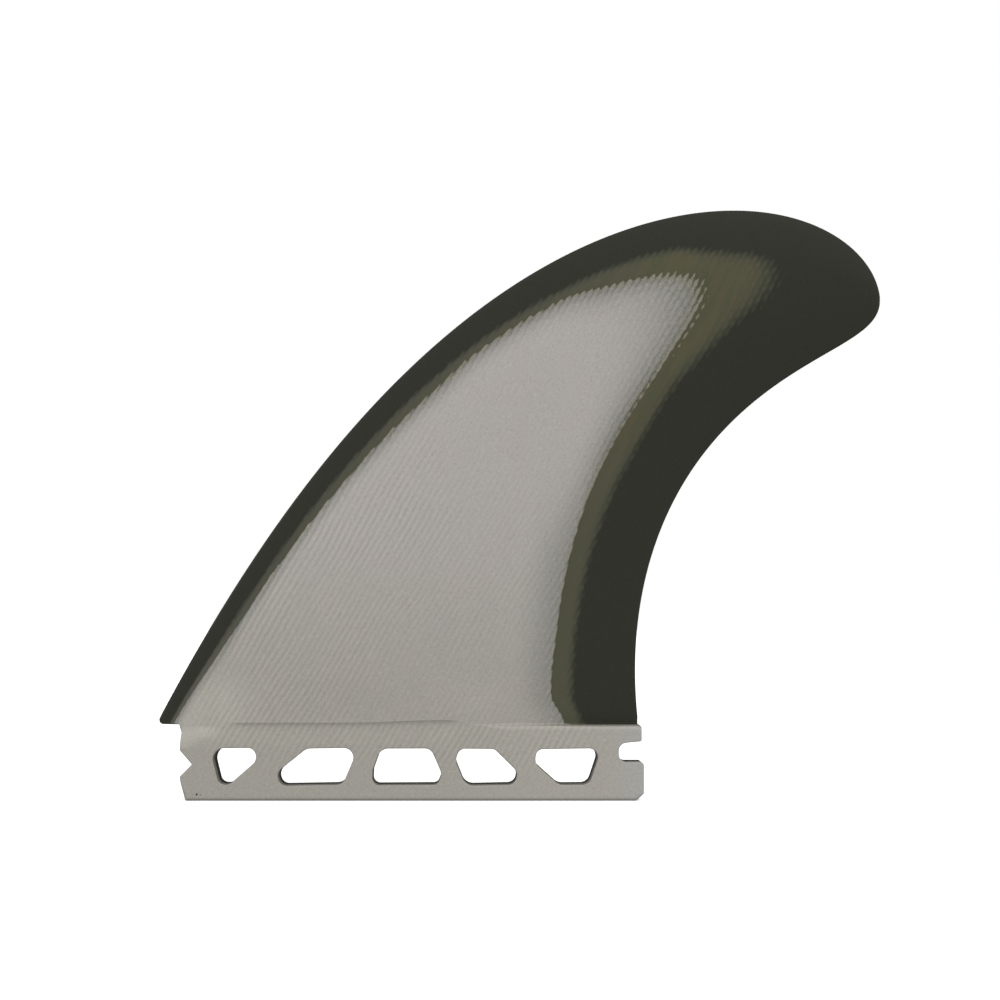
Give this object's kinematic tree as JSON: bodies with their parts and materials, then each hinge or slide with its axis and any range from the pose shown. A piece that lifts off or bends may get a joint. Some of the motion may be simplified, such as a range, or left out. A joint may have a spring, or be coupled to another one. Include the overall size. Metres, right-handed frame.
{
  "type": "surfboard fin",
  "caption": "Swept side fin with a single-sided foil, made from a panel of coloured glass-fibre plies, on a windowed tab that slides into a long fin box.",
  "frame": {"origin": "centre of the tab's foot, midway between the tab's two cheeks", "axes": "+Z along the blade's span away from the board, +X from the leading to the trailing edge, -Y out of the foiled outer side"},
  "size_m": [0.1809, 0.0073, 0.1471],
  "materials": {
    "laminate": "satin sanded glass-fibre laminate, pale over olive over dark plies"
  },
  "bodies": {
    "root": {"fin": "laminate"}
  },
  "joints": []
}
